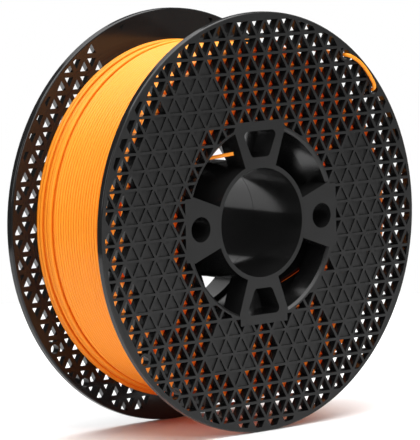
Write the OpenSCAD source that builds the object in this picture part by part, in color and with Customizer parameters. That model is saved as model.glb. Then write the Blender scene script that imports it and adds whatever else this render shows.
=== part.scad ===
// Filament spool: two lattice side plates, a winding core and the filament wound on it.
// The spool's axis lies along Y, with the front plate at -Y and +Z up.
// The origin is on the axis, midway between the two outer faces. Units are millimetres.

/* [Spool] */
// Diameter of the side plates
plate_d = 200; // [190:1:210]
// Width over the two outer faces
spool_w = 69; // [60:1:75]
// Diameter of the central bore
bore_d = 52; // [48:0.5:54]

/* [Side plates] */
// Thickness of the lattice
plate_t = 3.8; // [3:0.1:5]
// Width of the solid ring around the rim
rim_w = 2.2; // [1.5:0.1:4]
// Rounding of the rim's two edges
rim_round = 0.9; // [0.4:0.1:1.4]
// Distance between two parallel ribs, middle to middle
rib_pitch = 8.28; // [7.5:0.02:9]
// Width of a rib
rib_w = 1.3; // [1:0.1:1.8]
// How far each wall of a cell leans inwards from the outer face to the inner face
draft = 0.6; // [0.2:0.1:0.7]
// Depth of the closed cells
recess = 0.8; // [0.4:0.1:1.6]
// Diameter of the opening inside the hub ring
hub_d = 90.4; // [86:0.2:94]
// Length of the collar that the core is pressed on, from the plate's inner face
collar_l = 10; // [6:1:14]

/* [Spokes] */
// Half the angle that a spoke takes up
spoke_half = 20; // [16:1:24]
// Depth of a spoke from the outer face
spoke_t = 12.5; // [8:0.5:16]
// Diameter of the round drive holes
drive_d = 12; // [8:0.5:13]
// Distance between the two drive holes
drive_spacing = 77.6; // [76:0.2:79]

/* [Winding] */
// Outer diameter of the winding
winding_d = 170; // [120:1:176]
// Diameter of the filament
filament_d = 1.75; // [1.5:0.05:1.8]

/* [Hidden] */
$fn = 96;
eps = 0.5;

plate_black = [0.09, 0.09, 0.10];
core_black = [0.05, 0.05, 0.055];
orange = [1.0, 0.52, 0.10];

half_w = spool_w / 2;
inner_y = half_w - plate_t;

// Walls of the hub
tube_wall = 2.2;
tube_r = bore_d / 2 + tube_wall;
tube_gap = 0.1;
collar_wall = 1.6;
collar_r = hub_d / 2 + collar_wall;
core_fit = 0.05;
core_wall = 1.95;
core_r = collar_r + core_fit + core_wall;

// The smooth pads where the spokes meet the lattice
hub_ring_w = 2;
hub_chamfer = 1.1;
pad_half = 15;
pad_reach = 48.3;

// Lattice of equilateral cells, with the axis in the middle of one of them
cell_side = rib_pitch * 2 / sqrt(3);
cell_r = 2 * (rib_pitch / 3 - rib_w / 2);
rows = ceil(plate_d / 2 / rib_pitch);
cell_r_min = collar_r - 0.3;
cell_r_max = plate_d / 2 - rim_w + 0.4;

// Fields of closed cells: first angle, last angle, inner radius, outer radius
front_fields = [[112, 214, 55, 84], [-48, 32, 50, 80], [236, 262, 50, 76], [278, 304, 50, 76]];
rear_fields = [[63, 117, 50, 98], [258, 312, 50, 98], [150, 214, 52, 80], [-34, 30, 52, 80]];

// Holes near the rim that hold the end of the filament
thread_r = 95.3;
thread_hole_r = 2.3;
thread_boss_r = 3.5;
thread_angles = [37.5, 53, 217.5, 233];

// Slots in the core for the inner end of the filament: angle about the axis, and slant
slot_w = 2.6;
slot_l = 12;
slot_y = -14;
slots = [[142, -45], [320, 45]];

// Outer end: off the winding, out through one rim hole, along the plate, back in through the next
tail_route = [
    [16.4, -29.4, 84.5], [22, -29.4, 83.4], [28, -29.4, 82.1], [34, -29.4, 80.9],
    [40, -29.4, 79.7], [45, -29.4, 78.6], [50, -29.4, 77.6], [54, -29.4, 76.8],
    [55.7, -29.9, 76.5], [56.8, -30.9, 76.3], [57.3, -32.5, 76.1], [57.9, -34.1, 75.9],
    [58.9, -35.2, 75.5], [60.5, -35.6, 74.7], [63, -35.7, 73.3], [65.7, -35.8, 71.4],
    [68.3, -35.8, 68.9], [70.6, -35.8, 66.2], [72.7, -35.7, 63.4], [74.2, -35.6, 61.1],
    [74.9, -35.2, 59.5], [75.4, -34.1, 58.5], [75.6, -32.5, 58], [75.6, -30.5, 57.9],
    [75.7, -28.4, 57.8], [75.8, -26.3, 57.6]];

// Inner end: in through a core slot and forward to the edge of the hub opening
start_route = [
    [-38.1, -13.4, 29], [-36.5, -14.8, 29.4], [-35, -16.2, 29.8], [-33.4, -17.5, 30.1],
    [-31.8, -18.8, 30.4], [-30.2, -20.2, 30.8], [-28.6, -21.5, 31.1], [-27, -22.8, 31.4],
    [-25.4, -24.2, 31.8], [-23.8, -25.5, 32.2], [-22.2, -26.8, 32.5], [-20.6, -28.2, 32.8],
    [-19, -29.5, 33.2], [-17.4, -30.8, 33.5], [-15.4, -32.5, 33.9]];

// Angle of a point about the axis, from 0 up to 360
function angle_of(p) = (atan2(p[1], p[0]) + 360) % 360;
// True where a point's angle and radius lie inside one field
function in_field(p, f) =
    norm(p) >= f[2] && norm(p) <= f[3] && (angle_of(p) - f[0] + 720) % 360 <= f[1] - f[0];
// True where a point lies inside any of the fields
function is_closed(p, fields) = len([for (f = fields) if (in_field(p, f)) 1]) > 0;
// Middle of a cell in row k, column j; turn is 1 for a cell that points up, -1 for down
function cell_middle(k, j, turn) =
    [cell_side * (j + (k + (turn > 0 ? 0 : 1)) % 2 / 2), rib_pitch * (k + (turn > 0 ? 0 : 1 / 3))];

// Vector helpers for the tubes
function unit(v) = v / norm(v);
function flow(route, i) =
    unit(route[min(i + 1, len(route) - 1)] - route[max(i - 1, 0)]);
function side(route, i, up) = unit(cross(flow(route, i), up));
function ring_point(route, i, up, r, a) =
    let (s = side(route, i, up), u = cross(s, flow(route, i)))
    route[i] + r * (cos(a) * s + sin(a) * u);

// A round tube along a route: one ring of points at each route point
module tube(route, d, up, sides = 8) {
    n = len(route);
    points = [for (i = [0:n - 1], k = [0:sides - 1]) ring_point(route, i, up, d / 2, k * 360 / sides)];
    walls = [for (i = [0:n - 2], k = [0:sides - 1])
        let (m = (k + 1) % sides)
        each [[i * sides + k, i * sides + m, (i + 1) * sides + m],
              [i * sides + k, (i + 1) * sides + m, (i + 1) * sides + k]]];
    first = [[for (k = [sides - 1:-1:0]) k]];
    last = [[for (k = [0:sides - 1]) (n - 1) * sides + k]];
    polyhedron(points, concat(walls, first, last));
}

// A ring between two radii
module ring(r_out, r_in, h) {
    difference() {
        cylinder(r = r_out, h = h);
        translate([0, 0, -eps]) cylinder(r = r_in, h = h + 2 * eps);
    }
}

// Repeats its children at the four spokes, with a spoke's middle along +X
module at_spokes(angles = [0, 90, 180, 270]) {
    for (a = angles) rotate([0, 0, a]) children();
}

// The lattice's cells, all open ones or all closed ones, down to a depth below the outer face
module cells(fields, closed, depth) {
    lean = 2 * draft / plate_t;
    for (k = [-rows:rows], j = [-rows - 2:rows + 2], turn = [1, -1]) {
        p = cell_middle(k, j, turn);
        if (norm(p) > cell_r_min && norm(p) < cell_r_max && is_closed(p, fields) == closed)
            translate([p[0], p[1], -eps]) rotate(90 * turn)
                cylinder(r1 = cell_r + lean * eps, r2 = cell_r - lean * depth, h = depth + eps, $fn = 3);
    }
}

// The zone that cells may be cut in: inside the rim ring, outside the hub ring, its pads and the bosses
module lattice_zone(h) {
    difference() {
        cylinder(r = plate_d / 2 - rim_w, h = h);
        translate([0, 0, -eps]) cylinder(r = hub_d / 2 + hub_ring_w, h = h + 2 * eps);
        at_spokes() translate([0, -pad_half, -eps]) cube([pad_reach, 2 * pad_half, h + 2 * eps]);
        for (a = thread_angles) rotate([0, 0, a]) translate([thread_r, 0, -eps])
            cylinder(r = thread_boss_r, h = h + 2 * eps, $fn = 48);
    }
}

// The flat plate with rounded rim edges, before its cells are cut
module blank() {
    inner_r = collar_r - collar_wall / 4;
    rotate_extrude() {
        translate([inner_r, 0]) square([plate_d / 2 - rim_round - inner_r, plate_t]);
        translate([inner_r, rim_round])
            square([plate_d / 2 - inner_r, plate_t - 2 * rim_round]);
        translate([plate_d / 2 - rim_round, rim_round]) circle(r = rim_round);
        translate([plate_d / 2 - rim_round, plate_t - rim_round]) circle(r = rim_round);
    }
}

// The plate with its open cells cut through and its closed cells sunk in
module lattice(fields) {
    difference() {
        blank();
        intersection() {
            cells(fields, false, plate_t + eps);
            translate([0, 0, -2 * eps]) lattice_zone(plate_t + 4 * eps);
        }
        intersection() {
            cells(fields, true, recess);
            translate([0, 0, -2 * eps]) lattice_zone(recess + 4 * eps);
        }
    }
}

// The collar, with a chamfer round the hub opening on the outer face
module collar() {
    rotate_extrude()
        polygon([[hub_d / 2 + hub_chamfer, 0], [collar_r, 0], [collar_r, plate_t + collar_l],
                 [hub_d / 2, plate_t + collar_l], [hub_d / 2, hub_chamfer]]);
}

// One spoke, along +X from the bore tube to the hub ring
module spoke() {
    reach = plate_d / 2;
    intersection() {
        ring(collar_r - collar_wall / 8, tube_r - tube_wall / 2, spoke_t);
        translate([0, 0, -eps]) linear_extrude(spoke_t + 2 * eps)
            polygon([[0, 0], reach * [cos(spoke_half), -sin(spoke_half)],
                     reach * [cos(spoke_half), sin(spoke_half)]]);
    }
}

// Rounded wedge-shaped window through an upper or lower spoke
module spoke_window() {
    corner = 2.4;
    inner = [31.2, 6.3];
    outer = [43.8, 9.9];
    translate([0, 0, -eps]) linear_extrude(spoke_t + 2 * eps) hull() {
        for (end = [[inner, 1], [outer, -1]], s = [-1, 1])
            translate([end[0][0] + end[1] * corner, s * (end[0][1] - corner)]) circle(r = corner, $fn = 32);
    }
}

// One side plate, with its outer face at z = 0 and the rest above it
module side_plate(fields) {
    difference() {
        union() {
            lattice(fields);
            collar();
            at_spokes() spoke();
            ring(tube_r, bore_d / 2, half_w - tube_gap);
        }
        for (a = thread_angles) rotate([0, 0, a]) translate([thread_r, 0, -eps])
            cylinder(r = thread_hole_r, h = plate_t + 2 * eps, $fn = 48);
        at_spokes([0, 180]) translate([drive_spacing / 2, 0, -eps])
            cylinder(d = drive_d, h = spoke_t + 2 * eps);
        at_spokes([90, 270]) spoke_window();
    }
}

// Turns a part drawn upwards from z = 0 so that it starts at the rear face and points forward
module from_rear() {
    translate([0, half_w, 0]) rotate([90, 0, 0]) children();
}

module front_side_plate() {
    color(plate_black) mirror([0, 1, 0]) from_rear() side_plate(front_fields);
}

module rear_side_plate() {
    color(plate_black) from_rear() side_plate(rear_fields);
}

// Tube between the plates, pressed on their collars, with two slanted slots
module winding_core() {
    color(core_black) difference() {
        translate([0, inner_y, 0]) rotate([90, 0, 0]) ring(core_r, collar_r + core_fit, 2 * inner_y);
        for (s = slots) rotate([0, -s[0], 0]) translate([core_r, slot_y, 0]) rotate([s[1], 0, 0])
            cube([4 * core_wall, slot_w, slot_l], center = true);
    }
}

// The wound filament as one solid of its outer shape
module filament_winding() {
    color(orange) translate([0, inner_y, 0]) rotate([90, 0, 0])
        ring(winding_d / 2, core_r, 2 * inner_y);
}

module filament_tail() {
    color(orange) tube(tail_route, filament_d, [0.6, 0, 0.8]);
}

module filament_start() {
    color(orange) tube(start_route, filament_d, [0, 0, 1]);
}

front_side_plate();
rear_side_plate();
winding_core();
filament_winding();
filament_tail();
filament_start();
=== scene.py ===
"""Filament spool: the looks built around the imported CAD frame. Metres, +Z up, axis along Y, front plate at -Y."""
import math

import bpy
import numpy as np
from mathutils import Matrix, Vector


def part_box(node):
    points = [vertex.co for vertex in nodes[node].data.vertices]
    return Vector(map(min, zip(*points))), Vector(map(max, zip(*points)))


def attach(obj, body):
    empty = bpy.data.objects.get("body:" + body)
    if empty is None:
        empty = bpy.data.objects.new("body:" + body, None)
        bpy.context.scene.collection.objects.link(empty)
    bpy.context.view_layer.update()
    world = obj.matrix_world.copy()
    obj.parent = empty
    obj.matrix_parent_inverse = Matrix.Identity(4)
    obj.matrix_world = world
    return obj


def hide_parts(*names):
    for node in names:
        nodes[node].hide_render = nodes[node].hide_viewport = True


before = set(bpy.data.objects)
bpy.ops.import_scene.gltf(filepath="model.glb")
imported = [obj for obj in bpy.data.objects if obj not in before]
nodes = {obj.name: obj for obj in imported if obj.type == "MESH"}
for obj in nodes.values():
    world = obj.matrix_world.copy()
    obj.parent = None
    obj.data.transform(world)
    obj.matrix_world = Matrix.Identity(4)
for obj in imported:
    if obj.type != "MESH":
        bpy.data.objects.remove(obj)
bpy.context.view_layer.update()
MM = 0.001
SEED = 7

# ---------------------------------------------------------------- sizes from the frame
FLOOR_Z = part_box("front_side_plate")[0].z
CORE_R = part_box("winding_core")[1].x
WINDING_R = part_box("filament_winding")[1].x
WINDING_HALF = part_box("filament_winding")[1].y

# ---------------------------------------------------------------- camera
CAMERA_AZIMUTH = math.radians(-41.73)
CAMERA_ELEVATION = math.radians(6.087)
CAMERA_ROLL = math.radians(-1.38)
CAMERA_DISTANCE = 2.17
CAMERA_TARGET = Vector((-2.239, 0, -0.792)) * MM
CAMERA_LENS = 370.25
CAMERA_SENSOR = 36
CAMERA_NEAR, CAMERA_FAR = 0.05, 50


def make_camera():
    """The camera, turned round its own axis by a small roll."""
    a, e = CAMERA_AZIMUTH, CAMERA_ELEVATION
    back = Vector((math.sin(a) * math.cos(e), -math.cos(a) * math.cos(e), math.sin(e)))
    right = Vector((math.cos(a), math.sin(a), 0))
    up = back.cross(right)
    roll_right = right * math.cos(CAMERA_ROLL) + up * math.sin(CAMERA_ROLL)
    roll_up = up * math.cos(CAMERA_ROLL) - right * math.sin(CAMERA_ROLL)
    data = bpy.data.cameras.new("camera")
    data.lens = CAMERA_LENS
    data.sensor_width = CAMERA_SENSOR
    data.clip_start, data.clip_end = CAMERA_NEAR, CAMERA_FAR
    camera = bpy.data.objects.new("camera", data)
    turn = Matrix((roll_right, roll_up, back)).transposed().to_4x4()
    camera.matrix_world = Matrix.Translation(CAMERA_TARGET + back * CAMERA_DISTANCE) @ turn
    bpy.context.scene.collection.objects.link(camera)
    bpy.context.scene.camera = camera


# ---------------------------------------------------------------- node helpers
def new_material(name):
    """A material with the links of its tree, its principled shader and a helper that adds nodes."""
    material = bpy.data.materials.new(name)
    material.use_nodes = True
    tree = material.node_tree
    shader = tree.nodes["Principled BSDF"]

    def add(kind, **values):
        """A node with its inputs set by name, or else its own settings."""
        node = tree.nodes.new(kind)
        for key, value in values.items():
            if key in node.inputs:
                node.inputs[key].default_value = value
            else:
                setattr(node, key, value)
        return node

    return material, tree.links, shader, add


def ramp(add, links, factor, stops):
    """The colour output of a ramp over a factor, with its stops given as (place, grey or colour)."""
    node = add("ShaderNodeValToRGB")
    links.new(factor, node.inputs["Fac"])
    for element, (place, value) in zip(node.color_ramp.elements, stops):
        element.position = place
        colour = (value,) * 3 if isinstance(value, (int, float)) else value
        element.color = (*colour, 1)
    return node.outputs["Color"]


def noise(add, links, vector, scale, detail, roughness):
    """The factor output of a noise texture on a vector."""
    node = add("ShaderNodeTexNoise", Scale=scale, Detail=detail, Roughness=roughness)
    links.new(vector, node.inputs["Vector"])
    return node.outputs["Fac"]


def split(add, links, vector):
    """The X, Y and Z outputs of a vector."""
    node = add("ShaderNodeSeparateXYZ")
    links.new(vector, node.inputs["Vector"])
    return node.outputs


def bump(add, links, shader, height, strength, distance):
    """A bump on a shader's normal."""
    node = add("ShaderNodeBump", Strength=strength, Distance=distance)
    links.new(height, node.inputs["Height"])
    links.new(node.outputs["Normal"], shader.inputs["Normal"])


# ---------------------------------------------------------------- materials
PLASTIC_SPECULAR = 0.27
OUTWARD_RANGE = (0.02, 0.03)
FLOW_SCALE = 38
PATCH_SCALE = 26
GRAIN_SCALE = 2600
GRAIN_DEPTH = 0.06 * MM
GLOSS_SPREAD = 0.03
SATIN_SPREAD = 0.08

STREAK_SCALE = 900
STREAK_SHORTENING = 0.004
STREAK_DEPTH = 0.04 * MM
STREAK_BUMP = 0.03
ORANGE_DARK = (0.665, 0.243, 0.011)
ORANGE_LIGHT = (0.685, 0.259, 0.012)
ORANGE_ROUGH = (0.4, 0.45)
ORANGE_SPECULAR = 0.28
# Painted glow: a red emission on the filament that stands in for red bounce light in its shaded crevices and on the
# floor below
PAINTED_GLOW_STRENGTH = 0.17
PAINTED_GLOW_RED = (1.0, 0.06, 0.004, 1)

FLOOR_WHITE = (0.82, 0.82, 0.82, 1)
FLOOR_ROUGH = 0.5


def moulded_plastic(name, dark, light, satin, gloss, grain):
    """Moulded plastic: faint flow marks, a satin outer face, glossier walls and inner faces, and mould grain."""
    material, links, shader, add = new_material(name)
    place = add("ShaderNodeTexCoord").outputs["Object"]
    flow = noise(add, links, place, FLOW_SCALE, 4, 0.6)
    links.new(ramp(add, links, flow, [(0.3, dark), (0.7, light)]), shader.inputs["Base Color"])
    # 1 on faces that look outwards along the axis, 0 elsewhere
    normal = split(add, links, add("ShaderNodeNewGeometry").outputs["Normal"])
    outward = add("ShaderNodeMath", operation="MULTIPLY")
    links.new(normal["Y"], outward.inputs[0])
    links.new(split(add, links, place)["Y"], outward.inputs[1])
    outer = add("ShaderNodeMapRange")
    links.new(outward.outputs["Value"], outer.inputs["Value"])
    outer.inputs["From Min"].default_value, outer.inputs["From Max"].default_value = OUTWARD_RANGE
    patches = noise(add, links, place, PATCH_SCALE, 3, 0.5)
    mix = add("ShaderNodeMix")
    links.new(outer.outputs["Result"], mix.inputs["Factor"])
    for socket, rough, spread in (("A", gloss, GLOSS_SPREAD), ("B", satin, SATIN_SPREAD)):
        links.new(ramp(add, links, patches, [(0.3, rough), (0.72, rough + spread)]), mix.inputs[socket])
    links.new(mix.outputs["Result"], shader.inputs["Roughness"])
    shader.inputs["Specular IOR Level"].default_value = PLASTIC_SPECULAR
    bump(add, links, shader, noise(add, links, place, GRAIN_SCALE, 2, 0.5), grain, GRAIN_DEPTH)
    return material


def filament_plastic():
    """The filament: orange with a painted red glow that stands in for the red light in its shade, and drawn streaks
    that run along the strand.
    """
    material, links, shader, add = new_material("filament_orange")
    place = add("ShaderNodeTexCoord").outputs["Object"]
    part = split(add, links, place)
    # The streaks follow the winding: they lie on radius, y and a shortened angle
    square = add("ShaderNodeVectorMath", operation="MULTIPLY")
    links.new(place, square.inputs[0])
    square.inputs[1].default_value = (1, 0, 1)
    length = add("ShaderNodeVectorMath", operation="LENGTH")
    links.new(square.outputs["Vector"], length.inputs[0])
    angle = add("ShaderNodeMath", operation="ARCTAN2")
    links.new(part["Z"], angle.inputs[0])
    links.new(part["X"], angle.inputs[1])
    along = add("ShaderNodeMath", operation="MULTIPLY")
    links.new(angle.outputs["Value"], along.inputs[0])
    along.inputs[1].default_value = STREAK_SHORTENING
    polar = add("ShaderNodeCombineXYZ")
    links.new(length.outputs["Value"], polar.inputs["X"])
    links.new(part["Y"], polar.inputs["Y"])
    links.new(along.outputs["Value"], polar.inputs["Z"])
    streaks = noise(add, links, polar.outputs["Vector"], STREAK_SCALE, 3, 0.6)
    links.new(ramp(add, links, streaks, [(0.25, ORANGE_DARK), (0.75, ORANGE_LIGHT)]), shader.inputs["Base Color"])
    gloss = ramp(add, links, streaks, [(0.3, ORANGE_ROUGH[0]), (0.7, ORANGE_ROUGH[1])])
    links.new(gloss, shader.inputs["Roughness"])
    bump(add, links, shader, streaks, STREAK_BUMP, STREAK_DEPTH)
    shader.inputs["Specular IOR Level"].default_value = ORANGE_SPECULAR
    # Painted red glow: the filament emits a little red light of its own, though it is no lamp, to redden its shade
    shader.inputs["Emission Color"].default_value = PAINTED_GLOW_RED
    shader.inputs["Emission Strength"].default_value = PAINTED_GLOW_STRENGTH
    return material


def floor_material():
    """The pale floor."""
    material, _, shader, _ = new_material("floor_white")
    shader.inputs["Base Color"].default_value = FLOOR_WHITE
    shader.inputs["Roughness"].default_value = FLOOR_ROUGH
    return material


# ---------------------------------------------------------------- mesh helpers
def new_object(name, points, faces, material, smooth):
    """A mesh object with one material."""
    mesh = bpy.data.meshes.new(name)
    mesh.from_pydata([tuple(p) for p in points], [], [tuple(f) for f in faces])
    mesh.validate()
    if smooth:
        mesh.polygons.foreach_set("use_smooth", [True] * len(mesh.polygons))
    mesh.materials.append(material)
    made = bpy.data.objects.new(name, mesh)
    bpy.context.scene.collection.objects.link(made)
    return made


def grid_faces(n, sides, closed):
    """Faces between n loops of points, with each loop closed, and the last joined to the first if asked."""
    i = np.arange(n if closed else n - 1)[:, None]
    k = np.arange(sides)[None, :]
    j, m = (i + 1) % n, (k + 1) % sides
    return np.stack([i * sides + k, i * sides + m, j * sides + m, j * sides + k], -1).reshape(-1, 4).tolist()


def round_tube(angle, radius, along, thick, sides, closed):
    """Points and faces of a strand that runs round the axis, given its angle, radius and y at each step."""
    n = len(angle)
    turn = np.linspace(0, 2 * math.pi, sides, endpoint=False)
    out = radius[:, None] + thick * np.cos(turn)[None, :]
    y = along[:, None] + thick * np.sin(turn)[None, :]
    points = np.stack([out * np.cos(angle)[:, None], y, out * np.sin(angle)[:, None]], -1).reshape(-1, 3)
    faces = grid_faces(n, sides, closed)
    if not closed:
        faces.append(list(range(sides))[::-1])
        faces.append([(n - 1) * sides + s for s in range(sides)])
    return points, faces


def joined(parts):
    """Points and faces of several meshes as one."""
    points, faces, start = [], [], 0
    for p, f in parts:
        points.append(p)
        faces += [[v + start for v in face] for face in f]
        start += len(p)
    return np.concatenate(points), faces


def lathe(profile, steps):
    """A closed profile of (radius, y) points turned round the axis."""
    profile = np.array(profile)
    n = len(profile)
    angle = np.linspace(0, 2 * math.pi, steps, endpoint=False)
    points = np.stack([profile[None, :, 0] * np.cos(angle)[:, None],
                       np.broadcast_to(profile[None, :, 1], (steps, n)),
                       profile[None, :, 0] * np.sin(angle)[:, None]], -1).reshape(-1, 3)
    return points, grid_faces(steps, n, True)


# ---------------------------------------------------------------- cords
FILAMENT_D = 1.75 * MM
CORD_ROUNDNESS = 5
CORD_STEPS = 6
TAIL_ROUTE = [
    (16.4, -29.4, 84.5), (22, -29.4, 83.4), (28, -29.4, 82.1), (34, -29.4, 80.9),
    (40, -29.4, 79.7), (45, -29.4, 78.6), (50, -29.4, 77.6), (54, -29.4, 76.8),
    (55.7, -29.9, 76.5), (56.8, -30.9, 76.3), (57.3, -32.5, 76.1), (57.9, -34.1, 75.9),
    (58.9, -35.2, 75.5), (60.5, -35.6, 74.7), (63, -35.7, 73.3), (65.7, -35.8, 71.4),
    (68.3, -35.8, 68.9), (70.6, -35.8, 66.2), (72.7, -35.7, 63.4), (74.2, -35.6, 61.1),
    (74.9, -35.2, 59.5), (75.4, -34.1, 58.5), (75.6, -32.5, 58), (75.6, -30.5, 57.9),
    (75.7, -28.4, 57.8), (75.8, -26.3, 57.6)]
START_ROUTE = [
    (-38.1, -13.4, 29), (-36.5, -14.8, 29.4), (-35, -16.2, 29.8), (-33.4, -17.5, 30.1),
    (-31.8, -18.8, 30.4), (-30.2, -20.2, 30.8), (-28.6, -21.5, 31.1), (-27, -22.8, 31.4),
    (-25.4, -24.2, 31.8), (-23.8, -25.5, 32.2), (-22.2, -26.8, 32.5), (-20.6, -28.2, 32.8),
    (-19, -29.5, 33.2), (-17.4, -30.8, 33.5), (-15.4, -32.5, 33.9)]


def make_cord(name, node, route, material):
    """A free end of the filament, as one smooth curve through its route."""
    curve = bpy.data.curves.new(name, "CURVE")
    curve.dimensions = "3D"
    curve.bevel_depth = FILAMENT_D / 2
    curve.bevel_resolution = CORD_ROUNDNESS
    curve.use_fill_caps = True
    spline = curve.splines.new("BEZIER")
    spline.bezier_points.add(len(route) - 1)
    spline.resolution_u = CORD_STEPS
    for point, place in zip(spline.bezier_points, route):
        point.co = Vector(place) * MM
        point.handle_left_type = point.handle_right_type = "AUTO"
    curve.materials.append(material)
    cord = bpy.data.objects.new(name, curve)
    bpy.context.scene.collection.objects.link(cord)
    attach(cord, "root")
    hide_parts(node)


# ---------------------------------------------------------------- winding
STRAND_R = FILAMENT_D / 2
STRAND_SIDES = 12
HIDDEN_SIDES = 8
STEPS = 168
PITCH = 1.85 * MM
LAYER_STEP = 1.53 * MM
MIDDLE_INSET_Y = 2.3 * MM
MIDDLE_INSET_R = 2.9 * MM
# Where each turn steps over to the next one, as angles before the end of the turn
STEP_START = math.radians(-80)
STEP_LENGTH = math.radians(50)
WOBBLE = 0.012 * MM
# The last turns at the rear plate lie unevenly: distance from the plate and height over the even layer, in mm
LOOSE_TURNS = [(0.93, 0.05), (2.7, -0.05), (5.6, -0.75), (8.0, -0.35), (9.8, 0.15), (13.0, -0.45),
               (14.95, 0)]
# They also hang down below the axis: the drop at the lowest point, each turn's share of it, and its spread
SAG = 3.7 * MM
SAG_SHARES = [1, 1, 0.8, 0.5, 0.25, 0.1, 0]
SAG_ROUND = 8
SAG_SPREAD = 20
# The turns under the loose ones: which of the layer's turns are there, the first one's distance, and their pitch
UNDER_TURNS = (0, 1, 3, 4, 5, 6, 7, 8)
UNDER_FIRST = 1.0
UNDER_PITCH = 1.8
UNDER_DROP = 1.75 * MM
# The ends of the layers: room at the core and the plate, how far each second one stands back, and unevenness
ENDS_CLEAR_R = 0.05 * MM
ENDS_CLEAR_Y = 0.12
ENDS_BACK = 0.9
ENDS_UNEVEN = 0.06 * MM


def wobble(rng, angle, quickest):
    """A slow uneven wave along the strand, from seven random sines."""
    return sum(rng.uniform(0.3, 1) * np.sin(angle * rng.uniform(0.3, quickest) + rng.uniform(0, 6.3))
               for _ in range(7))


def outer_layer(rng):
    """The layer that shows: one strand, turn beside turn, each turn parallel to the plates but for a short step."""
    top = WINDING_R - STRAND_R
    turns = [(WINDING_HALF - y * MM, top + r * MM) for y, r in LOOSE_TURNS]
    y = turns[-1][0] - PITCH
    while y > -WINDING_HALF + STRAND_R:
        turns.append((y, top))
        y -= PITCH
    count = len(turns)
    place_y = np.array([t[0] for t in turns])
    place_r = np.array([t[1] for t in turns])
    place_sag = np.zeros(count)
    place_sag[:len(SAG_SHARES)] = SAG_SHARES
    angle = np.linspace(0, 2 * math.pi * (count - 1), STEPS * (count - 1) + 1)
    turn = np.floor(angle / (2 * math.pi)).astype(int)
    within = angle - turn * 2 * math.pi
    share = np.clip((within - (2 * math.pi + STEP_START)) / STEP_LENGTH, 0, 1)
    share = share * share * (3 - 2 * share)
    following = np.minimum(turn + 1, count - 1)
    turn = np.minimum(turn, count - 1)

    def at(places):
        """A value along the strand, eased from each turn's to the next one's."""
        return places[turn] * (1 - share) + places[following] * share

    from_lowest = np.degrees((within - math.pi / 2) % (2 * math.pi) - math.pi)
    hang = SAG * at(place_sag) * np.exp((SAG_ROUND - np.hypot(from_lowest, SAG_ROUND)) / SAG_SPREAD)
    along = at(place_y) + wobble(rng, angle, 3.3) * WOBBLE
    radius = at(place_r) + hang + wobble(rng, angle, 5.3) * WOBBLE
    return round_tube(angle, radius, along, STRAND_R, STRAND_SIDES, False)


def under_layers():
    """The turns that show in the gaps of the loose ones."""
    parts = []
    angle = np.linspace(0, 2 * math.pi, STEPS, endpoint=False)
    radius = np.full(STEPS, WINDING_R - STRAND_R - UNDER_DROP)
    for k in UNDER_TURNS:
        y = WINDING_HALF - (UNDER_FIRST + UNDER_PITCH * k) * MM
        parts.append(round_tube(angle, radius, np.full(STEPS, y), STRAND_R, HIDDEN_SIDES, True))
    return joined(parts)


def layer_ends(side, rng):
    """The end turn of every layer against one plate: each second layer stands back by half a turn."""
    parts = []
    angle = np.linspace(0, 2 * math.pi, STEPS, endpoint=False)
    count = int((WINDING_R - CORE_R - 2 * STRAND_R) / LAYER_STEP)
    for k in range(count + 1):
        radius = CORE_R + STRAND_R + ENDS_CLEAR_R + k * LAYER_STEP
        back = STRAND_R + (ENDS_CLEAR_Y + (ENDS_BACK if k % 2 else 0)) * MM
        wave = sum(rng.uniform(0.3, 1) * np.sin(angle * rng.integers(1, 6) + rng.uniform(0, 6.3)) for _ in range(5))
        y = side * (WINDING_HALF - back) - side * np.abs(wave) * ENDS_UNEVEN
        parts.append(round_tube(angle, np.full(STEPS, radius), y, STRAND_R, HIDDEN_SIDES, True))
    return joined(parts)


def make_winding(material):
    """The winding: a solid middle, its outer layer, the turns below it, and the layer ends at both plates."""
    rng = np.random.default_rng(SEED)
    half, top = WINDING_HALF - MIDDLE_INSET_Y, WINDING_R - MIDDLE_INSET_R
    middle = lathe([(CORE_R, -half), (top, -half), (top, half), (CORE_R, half)], STEPS)
    pieces = [("winding_middle", middle, False),
              ("winding_outer_layer", outer_layer(rng), True),
              ("winding_under_layer", under_layers(), True),
              ("winding_front_ends", layer_ends(-1, rng), True),
              ("winding_rear_ends", layer_ends(1, rng), True)]
    for name, (points, faces), smooth in pieces:
        made = new_object(name, points, faces, material, smooth)
        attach(made, "root")
        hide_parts("filament_winding")


# ---------------------------------------------------------------- plates and core
WELD_DISTANCE = 1e-7
FLAT_LIMIT = math.radians(0.5)
EDGE_LIMIT = math.radians(35)
SMOOTH_LIMIT = math.radians(50)
PLATE_EDGE = 0.22 * MM
CORE_EDGE = 0.2 * MM
PLASTIC_DARK, PLASTIC_LIGHT = 0.006, 0.009


def smooth_by_angle(limit):
    """A modifier group that shades faces smooth and keeps edges above an angle sharp."""
    group = bpy.data.node_groups.new("smooth_by_angle", "GeometryNodeTree")
    group.interface.new_socket("Geometry", in_out="INPUT", socket_type="NodeSocketGeometry")
    group.interface.new_socket("Geometry", in_out="OUTPUT", socket_type="NodeSocketGeometry")
    add = group.nodes.new
    start, end = add("NodeGroupInput"), add("NodeGroupOutput")
    faces, edges = add("GeometryNodeSetShadeSmooth"), add("GeometryNodeSetShadeSmooth")
    faces.domain, edges.domain = "FACE", "EDGE"
    bend = add("GeometryNodeInputMeshEdgeAngle")
    soft = add("FunctionNodeCompare")
    soft.operation = "LESS_THAN"
    soft.inputs[1].default_value = limit
    group.links.new(bend.outputs["Unsigned Angle"], soft.inputs[0])
    group.links.new(start.outputs[0], faces.inputs["Geometry"])
    group.links.new(faces.outputs["Geometry"], edges.inputs["Geometry"])
    group.links.new(soft.outputs["Result"], edges.inputs["Shade Smooth"])
    group.links.new(edges.outputs["Geometry"], end.inputs[0])
    return group


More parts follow.
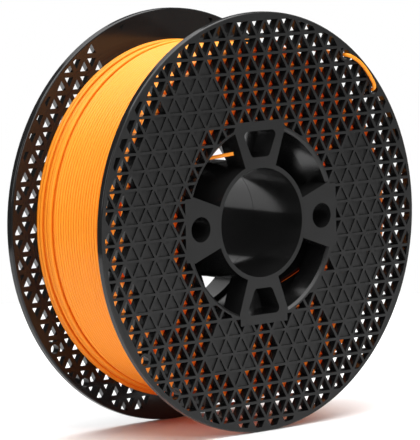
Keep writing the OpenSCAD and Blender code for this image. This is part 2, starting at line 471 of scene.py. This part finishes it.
def finish_moulding(node, material, width, smooth):
    """A moulded part: rounded edges on the CAD shape, smooth round faces, and its material."""
    part = nodes[node]
    part.data.materials.clear()
    part.data.materials.append(material)
    weld = part.modifiers.new("weld", "WELD")
    weld.merge_threshold = WELD_DISTANCE
    flat = part.modifiers.new("flat", "DECIMATE")
    flat.decimate_type = "DISSOLVE"
    flat.angle_limit = FLAT_LIMIT
    bevel = part.modifiers.new("edges", "BEVEL")
    bevel.width = width
    bevel.segments = 2
    bevel.limit_method = "ANGLE"
    bevel.angle_limit = EDGE_LIMIT
    bevel.harden_normals = False
    bevel.use_clamp_overlap = True
    part.modifiers.new("smooth", "NODES").node_group = smooth
    even = part.modifiers.new("even", "WEIGHTED_NORMAL")
    even.mode = "FACE_AREA"
    even.keep_sharp = True


# ---------------------------------------------------------------- studio
FLOOR_R = 0.5
FLOOR_STEPS = 64
# Strength of the surroundings in front of the spool and behind it, and the directions between which it changes
ROOM_FRONT = 0.35
ROOM_BEHIND = 0.1
ROOM_FROM, ROOM_TO = -1, 0.6
# Name, place, size and power of each light; all of them aim at the middle of the spool
LIGHTS = [("overhead", (0.0, -0.1, 1.15), (1.7, 1.7), 50),
          ("left", (-1.45, 0.6, 0.6), (0.8, 0.8), 9),
          ("front", (-0.35, -1.9, 0.75), (1.0, 1.0), 17),
          ("rim", (0.45, 1.4, 1.2), (0.8, 0.5), 1.5)]


def area_light(name, place, size, power):
    """A soft rectangular light that aims at the origin."""
    data = bpy.data.lights.new(name, "AREA")
    data.shape = "RECTANGLE"
    data.size, data.size_y = size
    data.energy = power
    lamp = bpy.data.objects.new(name, data)
    lamp.location = place
    lamp.rotation_mode = "QUATERNION"
    lamp.rotation_quaternion = (Vector() - Vector(place)).to_track_quat("-Z", "Y")
    bpy.context.scene.collection.objects.link(lamp)


def make_floor():
    """A round white floor under the spool."""
    turns = [2 * math.pi * i / FLOOR_STEPS for i in range(FLOOR_STEPS)]
    ring = [(FLOOR_R * math.cos(t), FLOOR_R * math.sin(t), FLOOR_Z) for t in turns]
    floor = new_object("floor", ring, [tuple(range(FLOOR_STEPS))], floor_material(), False)


def make_room():
    """Surroundings that are white to the camera, and light the spool more from the front than from behind."""
    world = bpy.data.worlds.new("studio")
    bpy.context.scene.world = world
    world.use_nodes = True
    tree = world.node_tree
    room = tree.nodes["Background"]
    room.inputs["Color"].default_value = (1, 1, 1, 1)
    direction = tree.nodes.new("ShaderNodeTexCoord")
    parts = tree.nodes.new("ShaderNodeSeparateXYZ")
    tree.links.new(direction.outputs["Generated"], parts.inputs["Vector"])
    depth = tree.nodes.new("ShaderNodeMapRange")
    tree.links.new(parts.outputs["Y"], depth.inputs["Value"])
    for socket, value in (("From Min", ROOM_FROM), ("From Max", ROOM_TO),
                          ("To Min", ROOM_FRONT), ("To Max", ROOM_BEHIND)):
        depth.inputs[socket].default_value = value
    tree.links.new(depth.outputs["Result"], room.inputs["Strength"])
    seen = tree.nodes.new("ShaderNodeBackground")
    seen.inputs["Color"].default_value = (1, 1, 1, 1)
    path = tree.nodes.new("ShaderNodeLightPath")
    mix = tree.nodes.new("ShaderNodeMixShader")
    tree.links.new(path.outputs["Is Camera Ray"], mix.inputs["Fac"])
    tree.links.new(room.outputs["Background"], mix.inputs[1])
    tree.links.new(seen.outputs["Background"], mix.inputs[2])
    tree.links.new(mix.outputs["Shader"], tree.nodes["World Output"].inputs["Surface"])


def make_studio():
    """Floor, surroundings, lights, and plain colours."""
    make_floor()
    make_room()
    for light in LIGHTS:
        area_light(*light)
    view = bpy.context.scene.view_settings
    view.view_transform = "Standard"
    view.look = "None"


make_camera()
orange = filament_plastic()
make_cord("filament_outer_end", "filament_tail", TAIL_ROUTE, orange)
make_cord("filament_inner_end", "filament_start", START_ROUTE, orange)
make_winding(orange)
plate_material = moulded_plastic("plate_black", PLASTIC_DARK, PLASTIC_LIGHT, satin=0.46, gloss=0.12, grain=0.08)
core_material = moulded_plastic("core_black", PLASTIC_DARK, PLASTIC_LIGHT, satin=0.3, gloss=0.13, grain=0.05)
smooth = smooth_by_angle(SMOOTH_LIMIT)
finish_moulding("front_side_plate", plate_material, PLATE_EDGE, smooth)
finish_moulding("rear_side_plate", plate_material, PLATE_EDGE, smooth)
finish_moulding("winding_core", core_material, CORE_EDGE, smooth)
make_studio()
